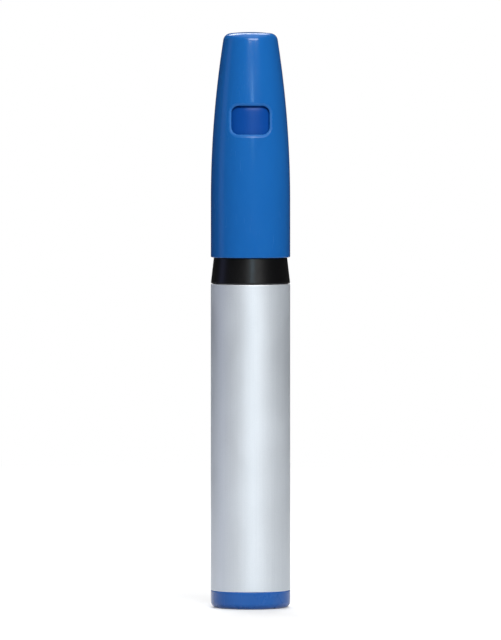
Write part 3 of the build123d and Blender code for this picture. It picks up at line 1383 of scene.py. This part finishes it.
    def cup(self) -> Thing:
        """The inner cup with its vents."""
        bottom, top, reach = span("cap_liner")
        flange = hypot(reach, self.vent_width / 2)
        outer, inner = self.wall + self.cup_gap, self.wall + self.cup_gap + self.cup_wall
        mouth_edge, flange_edge, ledge_edge = self.cup_edges
        section = rounded((
            Corner(self.cup_mouth, bottom, mouth_edge),
            Corner(flange, bottom, flange_edge),
            Corner(flange, self.skirt_top),
            *self.cup_face(top, outer, self.cup_round),
            *reversed(self.cup_face(top - self.cup_wall, inner, self.cup_round - self.cup_wall)),
            Corner(self.cup_mouth, self.skirt_top, ledge_edge),
        ))
        rise = self.skirt_top - bottom
        block = Vector((2 * self.vent_depth, self.vent_width, rise + 2 * self.vent_overrun))
        vents = RoundCuts(self.vent_count, block, Vector((flange, 0, bottom + rise / 2)))
        return self.make("cap_cup", "cap_liner", LINER_SHADED_BLUE, turned(section), vents)

    def cup_face(self, top: float, inset: float, radius: float) -> list[Corner]:
        """One face of the cup, up its side and over to the axis.

        Args:
            top: The height of the face's flat top.
            inset: The face's distance inside the cap's outer face.
            radius: The rounding between side and top.

        Returns:
            The points from the skirt to the axis.
        """
        level = top - radius
        reach = self.side_arc - inset - radius
        centre = self.side_centre.x + sqrt(reach**2 - (level - self.skirt_top) ** 2)
        start = asin((level - self.skirt_top) / reach)
        low = level + radius * sin(start)
        return [
            *self.side_at((self.skirt_top,), inset),
            *self.side_points(self.skirt_top, low, inset),
            *arc((centre, level), radius, start, pi / 2, self.cup_steps),
            Corner(centre / 2, top),
            Corner(0, top),
        ]


# Studio


def aim(thing: Thing, target: Vector, turn: float, lift: float, distance: float) -> None:
    """Puts a lamp or a camera at a distance from a point and turns it to face the point.

    Args:
        thing: The lamp or camera.
        target: The point.
        turn: Degrees round the crayon from the front, to the viewer's right.
        lift: Degrees above the horizon.
        distance: Metres from the point.
    """
    turn, lift = radians(turn), radians(lift)
    way = Vector((sin(turn) * cos(lift), -cos(turn) * cos(lift), sin(lift)))
    thing.location = target + way * distance
    thing.rotation_euler = way.to_track_quat("Z", "Y").to_euler()


@dataclass(frozen=True)
class Lamp:
    """A soft box or strip that faces the crayon's middle.

    Attributes:
        name: The lamp's name.
        turn: Degrees round the crayon from the front, to the viewer's right.
        lift: Degrees above the horizon.
        size: Width and height in metres.
        power: Watts.
        tint: The light's colour.
        distance: Metres from the crayon.
    """

    name: str
    turn: float
    lift: float
    size: Point
    power: float
    tint: Colour = WHITE
    distance: float = 0.8

    def build(self, target: Vector) -> None:
        """Sets the lamp up.

        Args:
            target: The point that it faces.
        """
        data = bpy.data.lights.new(self.name, "AREA")
        data.shape = "RECTANGLE"
        data.size, data.size_y = self.size
        data.energy = self.power
        data.color = self.tint
        lamp = link(self.name, data)
        lamp.visible_camera = False
        aim(lamp, target, self.turn, self.lift, self.distance)


@dataclass
class Studio:
    """A pale floor, soft lamps, a dim surround for the gloss to mirror, and the camera."""

    floor_radius: float = 6.0
    clear_floor: Point = (0.16, 0.55)  # metres over which the floor turns white
    floor_veil: float = 0.25
    floor_tone: Point = (0.93, 0.95)
    floor_bounce: Colour = (0.34, 0.35, 0.42)
    floor_roughness: float = 0.7
    floor_gloss: float = 0.2
    round_sides: int = 96
    room: float = 0.05
    camera_lift: float = 2.0
    camera_distance: float = 1.6
    camera_clip: Point = (0.05, 50.0)
    shown_height: float = 0.129
    surround_radius: float = 1.05
    surround_height: float = 1.3
    surround_mouth: float = 0.26
    surround_rise: float = 0.004
    surround_tone: float = 0.035
    lamps: tuple[Lamp, ...] = (
        Lamp("key", 12, 33, (0.64, 0.28), 8.1, (1.0, 0.99, 0.98), 0.9),
        Lamp("side", -94, 8, (0.30, 0.70), 0.40, (0.45, 0.50, 1.0)),
        Lamp("strip", 6, 13.0, (0.07, 0.05), 0.26, (0.45, 0.78, 1.0)),
        Lamp("top", 10, 80, (0.6, 0.6), 1.4),
        Lamp("back", 188, 48, (0.6, 0.35), 5.6),
    )

    def build(self) -> None:
        """Sets up the whole studio."""
        low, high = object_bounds()
        self.middle = (Vector(low) + Vector(high)) / 2
        for lamp in self.lamps:
            lamp.build(self.middle)
        self.floor()
        self.surround()
        self.world()
        self.camera()
        bpy.context.scene.view_settings.view_transform = "Standard"

    def staged(self, name: str, mesh: Mesh, nodes: Nodes) -> Thing:
        """Adds a piece of the studio with its mesh and its material's nodes."""
        piece = as_object(name, mesh, nodes.material)
        piece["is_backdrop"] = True
        return piece

    def surround(self) -> None:
        """A dim wall and ground round the set that only glossy rays meet, so that gloss keeps its edges."""
        mesh = bmesh.new()
        wall = (self.surround_radius, self.surround_height)
        ground = (self.surround_mouth, self.surround_rise)
        for upper_radius, height in (wall, ground):
            bmesh.ops.create_cone(
                mesh, segments=self.round_sides, radius1=self.surround_radius, radius2=upper_radius,
                depth=height, matrix=Matrix.Translation((0, 0, height / 2)),
            )
        nodes = Nodes("surround_grey")
        nodes.show(nodes.glow((self.surround_tone,) * 3))
        dim = self.staged("surround", mesh, nodes)
        for ray in ("camera", "diffuse", "transmission", "shadow"):
            setattr(dim, f"visible_{ray}", False)

    def floor(self) -> None:
        """A large pale floor that keeps the shadow and turns white away from the crayon."""
        mesh = bmesh.new()
        bmesh.ops.create_circle(mesh, cap_ends=True, segments=self.round_sides, radius=self.floor_radius)
        nodes = Nodes("floor_white")
        apart = nodes.add("ShaderNodeVectorMath", {0: nodes.place}, "Value", operation="LENGTH")
        far = nodes.range(apart, *self.clear_floor, self.floor_veil, 1.0)
        tone = nodes.clouds((0.01, 0.01), 2.0, (0.3, 0.7), self.floor_tone)
        pale = nodes.add("ShaderNodeCombineColor", {0: tone, 1: tone, 2: tone})
        seen = nodes.seen()
        nodes.set(
            Base_Color=nodes.mix(seen, self.floor_bounce, pale),
            Roughness=self.floor_roughness,
            Specular_IOR_Level=self.floor_gloss,
        )
        share = nodes.math(Sum.TIMES, far, seen)
        inputs = {0: share, 1: nodes.shader.outputs[0], 2: nodes.glow(WHITE)}
        nodes.show(nodes.add("ShaderNodeMixShader", inputs))
        self.staged("floor", mesh, nodes)

    def world(self) -> None:
        """White where it is seen, and a dimmer soft light on the crayon."""
        world = bpy.data.worlds.new("studio")
        world.use_nodes = True
        bpy.context.scene.world = world
        tree = Tree(world.node_tree)
        background = world.node_tree.nodes["Background"].inputs
        tree.give(background["Color"], WHITE)
        tree.give(background["Strength"], tree.range(tree.seen(), 0.0, 1.0, self.room, 1.0))

    def camera(self) -> None:
        """A long lens from the front, a little above level."""
        data = bpy.data.cameras.new("camera")
        data.angle = 2 * atan(self.shown_height / 2 / self.camera_distance)
        data.clip_start, data.clip_end = self.camera_clip
        camera = link("camera", data)
        aim(camera, self.middle, 0.0, self.camera_lift, self.camera_distance)
        bpy.context.scene.camera = camera


def main() -> None:
    """Builds the crayon and its studio."""
    logging.basicConfig(level=logging.INFO, format="%(message)s")
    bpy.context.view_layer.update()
    for assembly in (Barrel(), TwistCollar(), GelCore(), Cap()):
        pieces = assembly.build()
        log.info("%s: %d pieces", type(assembly).__name__, len(pieces))
    Studio().build()


if __name__ == "__main__":
    main()
